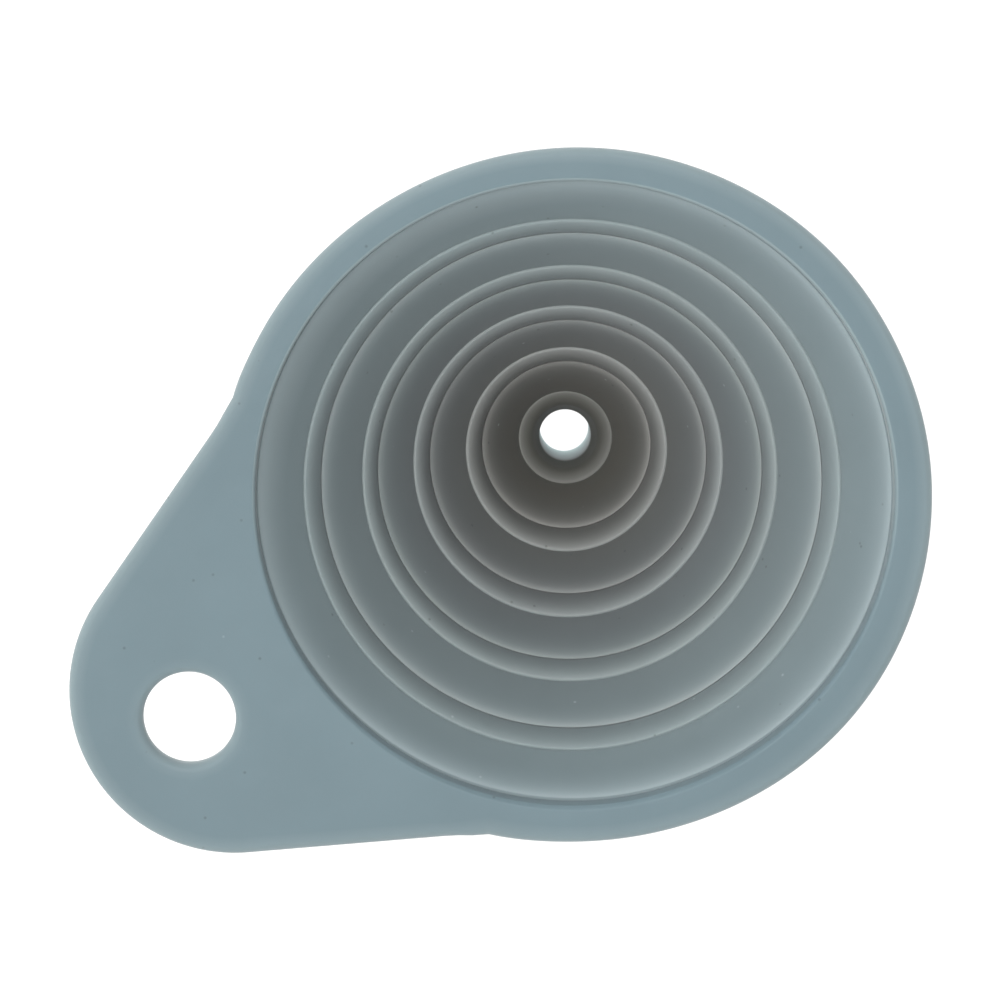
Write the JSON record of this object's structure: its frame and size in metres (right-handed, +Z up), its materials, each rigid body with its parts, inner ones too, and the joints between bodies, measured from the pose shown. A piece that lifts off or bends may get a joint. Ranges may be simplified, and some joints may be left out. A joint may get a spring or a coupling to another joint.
{
  "type": "folding silicone funnel",
  "caption": "Folding silicone funnel with a flat rim, a teardrop hanging tab, stiff conical wall rings on thin folding webs, and a short spout.",
  "frame": {"origin": "centre of the spout's open end, on the funnel's axis, opened out", "axes": "+Z up along the funnel's axis towards the mouth, +X along the hanging tab"},
  "size_m": [0.1168, 0.09, 0.07],
  "materials": {
    "silicone_rim": "matte",
    "silicone_wall": "matte",
    "silicone_web": "matte",
    "silicone_spout": "matte"
  },
  "bodies": {
    "spout_section": {"spout": "silicone_spout", "wall_ring_5": "silicone_wall", "fold_web_4": "silicone_web"},
    "ring_4_section": {"wall_ring_4": "silicone_wall", "fold_web_3": "silicone_web"},
    "ring_3_section": {"wall_ring_3": "silicone_wall", "fold_web_2": "silicone_web"},
    "ring_2_section": {"wall_ring_2": "silicone_wall", "fold_web_1": "silicone_web"},
    "rim_section": {"wall_ring_1": "silicone_wall", "rim_with_hanging_tab": "silicone_rim"}
  },
  "joints": [
    {"name": "fold_4", "type": "slide", "parent": "spout_section", "child": "ring_4_section", "axis": [0, 0, -1], "range_m": [0, 0.012], "deforming": ["fold_web_4"]},
    {"name": "fold_3", "type": "slide", "parent": "ring_4_section", "child": "ring_3_section", "axis": [0, 0, -1], "range_m": [0, 0.0118], "deforming": ["fold_web_3"]},
    {"name": "fold_2", "type": "slide", "parent": "ring_3_section", "child": "ring_2_section", "axis": [0, 0, -1], "range_m": [0, 0.0098], "deforming": ["fold_web_2"]},
    {"name": "fold_1", "type": "slide", "parent": "ring_2_section", "child": "rim_section", "axis": [0, 0, -1], "range_m": [0, 0.0106], "deforming": ["fold_web_1"]}
  ]
}
